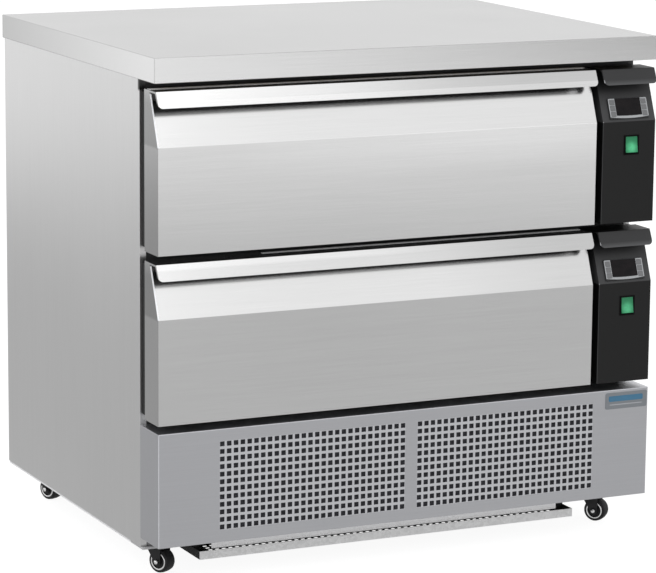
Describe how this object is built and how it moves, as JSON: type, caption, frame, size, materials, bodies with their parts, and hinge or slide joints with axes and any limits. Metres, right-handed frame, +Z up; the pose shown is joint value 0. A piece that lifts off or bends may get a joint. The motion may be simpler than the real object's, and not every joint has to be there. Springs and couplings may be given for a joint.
{
  "type": "undercounter drawer refrigerator",
  "caption": "Stainless undercounter refrigerator on swivel casters with pull-out drawers, a control column and a perforated plinth over the condensing unit.",
  "frame": {"origin": "centre of the footprint, on the floor under the wheels", "axes": "+X to the right seen from the front, +Y to the rear, +Z up; the drawers face -Y"},
  "size_m": [0.9, 0.71, 0.85],
  "materials": {
    "stainless_top": "satin brushed",
    "stainless_panel": "satin brushed",
    "stainless_front": "fine brushed",
    "stainless_inner": "satin",
    "plinth_steel": "satin",
    "chassis_steel": "grey zinc",
    "galvanised": "zinc spangle",
    "slide_steel": "zinc plated",
    "foam": "rigid foam",
    "core_board": "board",
    "black_frame": "satin",
    "black_panel": "fine texture",
    "gasket_rubber": "matt",
    "filter_mat": "open mat",
    "badge_grey": "satin",
    "housing_black": "satin",
    "key_silver": "satin silver",
    "display": "smoked window",
    "rocker_green": "translucent",
    "compressor_black": "gloss enamel",
    "coil_dark": "matt",
    "coil_alu": "mill",
    "fan_alu": "mill",
    "fan_plastic": "satin",
    "copper": "drawn copper",
    "box_steel": "zinc",
    "gland_black": "satin",
    "caster_black": "black zinc",
    "tyre_black": "matt"
  },
  "bodies": {
    "cabinet": {"worktop": "stainless_top", "worktop_core": "core_board", "left_side_panel": "stainless_panel", "right_side_panel": "stainless_panel", "rear_panel": "stainless_panel", "insulated_carcass": "foam", "chamber_liners": "stainless_inner", "face_frame": "black_frame", "base_chassis": "chassis_steel", "plinth_panel": "plinth_steel", "compressor_tray": "galvanised", "badge_plate": "badge_grey", "air_filter": "filter_mat", "control_panels": "black_panel", "control_box": "box_steel", "controller_housings": "housing_black", "display_lenses": "display", "switch_frames": "fan_plastic", "slide_channels": "slide_steel", "compressor": "compressor_black", "condenser": "coil_dark", "evaporators": "coil_alu", "refrigerant_pipes": "copper", "cable_gland": "gland_black", "caster_plates": "caster_black"},
    "upper_drawer": {"upper_drawer_skin": "stainless_front", "upper_drawer_core": "foam", "upper_drawer_gasket": "gasket_rubber", "upper_pan_frame": "stainless_inner"},
    "upper_slides": {"upper_slide_middle": "slide_steel"},
    "upper_rocker": {"upper_rocker": "rocker_green"},
    "upper_evaporator_fan": {"upper_evaporator_fan": "fan_plastic"},
    "upper_key_1": {"upper_key_1": "key_silver"},
    "upper_key_2": {"upper_key_2": "key_silver"},
    "upper_key_3": {"upper_key_3": "key_silver"},
    "upper_key_4": {"upper_key_4": "key_silver"},
    "upper_key_5": {"upper_key_5": "key_silver"},
    "upper_key_6": {"upper_key_6": "key_silver"},
    "lower_drawer": {"lower_drawer_skin": "stainless_front", "lower_drawer_core": "foam", "lower_drawer_gasket": "gasket_rubber", "lower_pan_frame": "stainless_inner"},
    "lower_slides": {"lower_slide_middle": "slide_steel"},
    "lower_rocker": {"lower_rocker": "rocker_green"},
    "lower_evaporator_fan": {"lower_evaporator_fan": "fan_plastic"},
    "lower_key_1": {"lower_key_1": "key_silver"},
    "lower_key_2": {"lower_key_2": "key_silver"},
    "lower_key_3": {"lower_key_3": "key_silver"},
    "lower_key_4": {"lower_key_4": "key_silver"},
    "lower_key_5": {"lower_key_5": "key_silver"},
    "lower_key_6": {"lower_key_6": "key_silver"},
    "condenser_fan": {"condenser_fan": "fan_alu"},
    "fork_front_left": {"fork_front_left": "caster_black"},
    "wheel_front_left": {"wheel_front_left": "tyre_black"},
    "fork_front_right": {"fork_front_right": "caster_black"},
    "wheel_front_right": {"wheel_front_right": "tyre_black"},
    "fork_rear_left": {"fork_rear_left": "caster_black"},
    "wheel_rear_left": {"wheel_rear_left": "tyre_black"},
    "fork_rear_right": {"fork_rear_right": "caster_black"},
    "wheel_rear_right": {"wheel_rear_right": "tyre_black"}
  },
  "joints": [
    {"name": "upper_drawer_pull", "type": "slide", "parent": "cabinet", "child": "upper_drawer", "axis": [0, -1, 0], "range_m": [0, 0.55]},
    {"name": "upper_slides_run", "type": "slide", "parent": "cabinet", "child": "upper_slides", "axis": [0, -1, 0], "range_m": [0, 0.275]},
    {"name": "upper_rocker_tilt", "type": "hinge", "parent": "cabinet", "child": "upper_rocker", "pos_m": [0.402, -0.347, 0.6705], "axis": [1, 0, 0], "range_deg": [0, 14]},
    {"name": "upper_evaporator_fan_spin", "type": "hinge", "parent": "cabinet", "child": "upper_evaporator_fan", "pos_m": [-0.2, 0.2738, 0.666], "axis": [0, 1, 0], "continuous": true},
    {"name": "upper_key_1_press", "type": "slide", "parent": "cabinet", "child": "upper_key_1", "axis": [0, 0.9308, -0.3657], "range_m": [0, 0.0005], "stiffness_N_per_m": 300, "springref_m": -0.001},
    {"name": "upper_key_2_press", "type": "slide", "parent": "cabinet", "child": "upper_key_2", "axis": [0, 0.9308, -0.3657], "range_m": [0, 0.0005], "stiffness_N_per_m": 300, "springref_m": -0.001},
    {"name": "upper_key_3_press", "type": "slide", "parent": "cabinet", "child": "upper_key_3", "axis": [0, 0.9308, -0.3657], "range_m": [0, 0.0005], "stiffness_N_per_m": 300, "springref_m": -0.001},
    {"name": "upper_key_4_press", "type": "slide", "parent": "cabinet", "child": "upper_key_4", "axis": [0, 0.9308, -0.3657], "range_m": [0, 0.0005], "stiffness_N_per_m": 300, "springref_m": -0.001},
    {"name": "upper_key_5_press", "type": "slide", "parent": "cabinet", "child": "upper_key_5", "axis": [0, 0.9308, -0.3657], "range_m": [0, 0.0005], "stiffness_N_per_m": 300, "springref_m": -0.001},
    {"name": "upper_key_6_press", "type": "slide", "parent": "cabinet", "child": "upper_key_6", "axis": [0, 0.9308, -0.3657], "range_m": [0, 0.0005], "stiffness_N_per_m": 300, "springref_m": -0.001},
    {"name": "lower_drawer_pull", "type": "slide", "parent": "cabinet", "child": "lower_drawer", "axis": [0, -1, 0], "range_m": [0, 0.55]},
    {"name": "lower_slides_run", "type": "slide", "parent": "cabinet", "child": "lower_slides", "axis": [0, -1, 0], "range_m": [0, 0.275]},
    {"name": "lower_rocker_tilt", "type": "hinge", "parent": "cabinet", "child": "lower_rocker", "pos_m": [0.402, -0.347, 0.3985], "axis": [1, 0, 0], "range_deg": [0, 14]},
    {"name": "lower_evaporator_fan_spin", "type": "hinge", "parent": "cabinet", "child": "lower_evaporator_fan", "pos_m": [-0.2, 0.2738, 0.394], "axis": [0, 1, 0], "continuous": true},
    {"name": "lower_key_1_press", "type": "slide", "parent": "cabinet", "child": "lower_key_1", "axis": [0, 0.9308, -0.3657], "range_m": [0, 0.0005], "stiffness_N_per_m": 300, "springref_m": -0.001},
    {"name": "lower_key_2_press", "type": "slide", "parent": "cabinet", "child": "lower_key_2", "axis": [0, 0.9308, -0.3657], "range_m": [0, 0.0005], "stiffness_N_per_m": 300, "springref_m": -0.001},
    {"name": "lower_key_3_press", "type": "slide", "parent": "cabinet", "child": "lower_key_3", "axis": [0, 0.9308, -0.3657], "range_m": [0, 0.0005], "stiffness_N_per_m": 300, "springref_m": -0.001},
    {"name": "lower_key_4_press", "type": "slide", "parent": "cabinet", "child": "lower_key_4", "axis": [0, 0.9308, -0.3657], "range_m": [0, 0.0005], "stiffness_N_per_m": 300, "springref_m": -0.001},
    {"name": "lower_key_5_press", "type": "slide", "parent": "cabinet", "child": "lower_key_5", "axis": [0, 0.9308, -0.3657], "range_m": [0, 0.0005], "stiffness_N_per_m": 300, "springref_m": -0.001},
    {"name": "lower_key_6_press", "type": "slide", "parent": "cabinet", "child": "lower_key_6", "axis": [0, 0.9308, -0.3657], "range_m": [0, 0.0005], "stiffness_N_per_m": 300, "springref_m": -0.001},
    {"name": "condenser_fan_spin", "type": "hinge", "parent": "cabinet", "child": "condenser_fan", "pos_m": [-0.19, -0.117, 0.1162], "axis": [0, 1, 0], "continuous": true},
    {"name": "front_left_swivel", "type": "hinge", "parent": "cabinet", "child": "fork_front_left", "pos_m": [-0.405, -0.237, 0.045], "axis": [0, 0, 1], "continuous": true},
    {"name": "front_left_roll", "type": "hinge", "parent": "fork_front_left", "child": "wheel_front_left", "pos_m": [-0.3985, -0.24826, 0.0195], "axis": [0.866, 0.5, 0], "continuous": true},
    {"name": "front_right_swivel", "type": "hinge", "parent": "cabinet", "child": "fork_front_right", "pos_m": [0.405, -0.237, 0.045], "axis": [0, 0, 1], "continuous": true},
    {"name": "front_right_roll", "type": "hinge", "parent": "fork_front_right", "child": "wheel_front_right", "pos_m": [0.41318, -0.2471, 0.0195], "axis": [0.7771, 0.6293, 0], "continuous": true},
    {"name": "rear_left_swivel", "type": "hinge", "parent": "cabinet", "child": "fork_rear_left", "pos_m": [-0.405, 0.275, 0.045], "axis": [0, 0, 1], "continuous": true},
    {"name": "rear_left_roll", "type": "hinge", "parent": "fork_rear_left", "child": "wheel_rear_left", "pos_m": [-0.39971, 0.26312, 0.0195], "axis": [0.9135, 0.4067, 0], "continuous": true},
    {"name": "rear_right_swivel", "type": "hinge", "parent": "cabinet", "child": "fork_rear_right", "pos_m": [0.405, 0.275, 0.045], "axis": [0, 0, 1], "continuous": true},
    {"name": "rear_right_roll", "type": "hinge", "parent": "fork_rear_right", "child": "wheel_rear_right", "pos_m": [0.41318, 0.2649, 0.0195], "axis": [0.7771, 0.6293, 0], "continuous": true}
  ],
  "couplings": [
    {"joint": "upper_slides_run", "follows": "upper_drawer_pull", "ratio": 0.5},
    {"joint": "lower_slides_run", "follows": "lower_drawer_pull", "ratio": 0.5}
  ]
}
